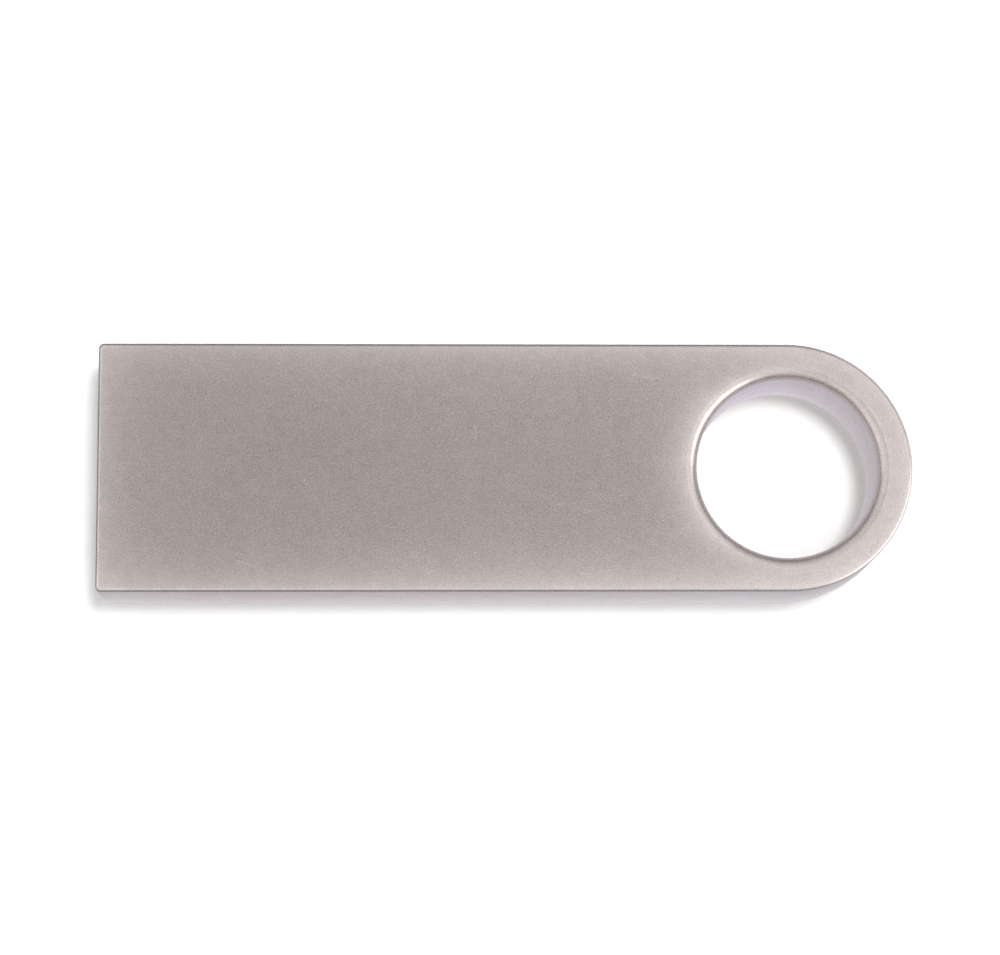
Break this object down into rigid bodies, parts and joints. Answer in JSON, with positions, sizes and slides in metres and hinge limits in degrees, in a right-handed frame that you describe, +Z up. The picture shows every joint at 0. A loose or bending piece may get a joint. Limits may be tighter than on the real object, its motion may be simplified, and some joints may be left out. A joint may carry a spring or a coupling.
{
  "type": "usb flash drive",
  "caption": "Flat metal USB flash drive with an integral Type-A plug at one end and a round key-ring eye at the other.",
  "frame": {"origin": "middle of the underside, on the surface that the drive lies on", "axes": "+X from the mouth of the plug to the key-ring eye, +Y across the width, +Z up out of the plain face"},
  "size_m": [0.039, 0.012, 0.0045],
  "materials": {
    "plated_zinc": "satin",
    "black_plastic": "satin",
    "adhesive_film": "matte",
    "clear_glue": "gloss",
    "glass_epoxy": "satin",
    "solder_mask": "satin",
    "copper": "satin",
    "gold_plating": "satin",
    "mould_compound": "matte",
    "silicon": "polished",
    "die_film": "matte",
    "bond_gold": "polished",
    "crystal_ceramic": "matte",
    "lid_metal": "satin",
    "capacitor_ceramic": "satin",
    "tin": "satin",
    "resistor_glaze": "gloss"
  },
  "bodies": {
    "root": {"housing": "plated_zinc", "carrier_tray": "black_plastic", "filler_block": "black_plastic", "tray_adhesive": "adhesive_film", "rear_glue": "clear_glue", "pcb_core": "glass_epoxy", "solder_mask": "solder_mask", "copper_traces": "copper", "contact_vbus": "gold_plating", "contact_data_minus": "gold_plating", "contact_data_plus": "gold_plating", "contact_ground": "gold_plating", "test_pads": "gold_plating", "smd_pads": "gold_plating", "bond_fingers": "gold_plating", "mould_cap": "mould_compound", "controller_die": "silicon", "flash_die_inner": "silicon", "flash_die_outer": "silicon", "die_attach_films": "die_film", "controller_bond_wires": "bond_gold", "flash_bond_wires": "bond_gold", "crystal_base": "crystal_ceramic", "crystal_lid": "lid_metal", "capacitor_bodies": "capacitor_ceramic", "capacitor_terminals": "tin", "resistor_bodies": "resistor_glaze", "resistor_terminals": "tin"}
  },
  "joints": []
}
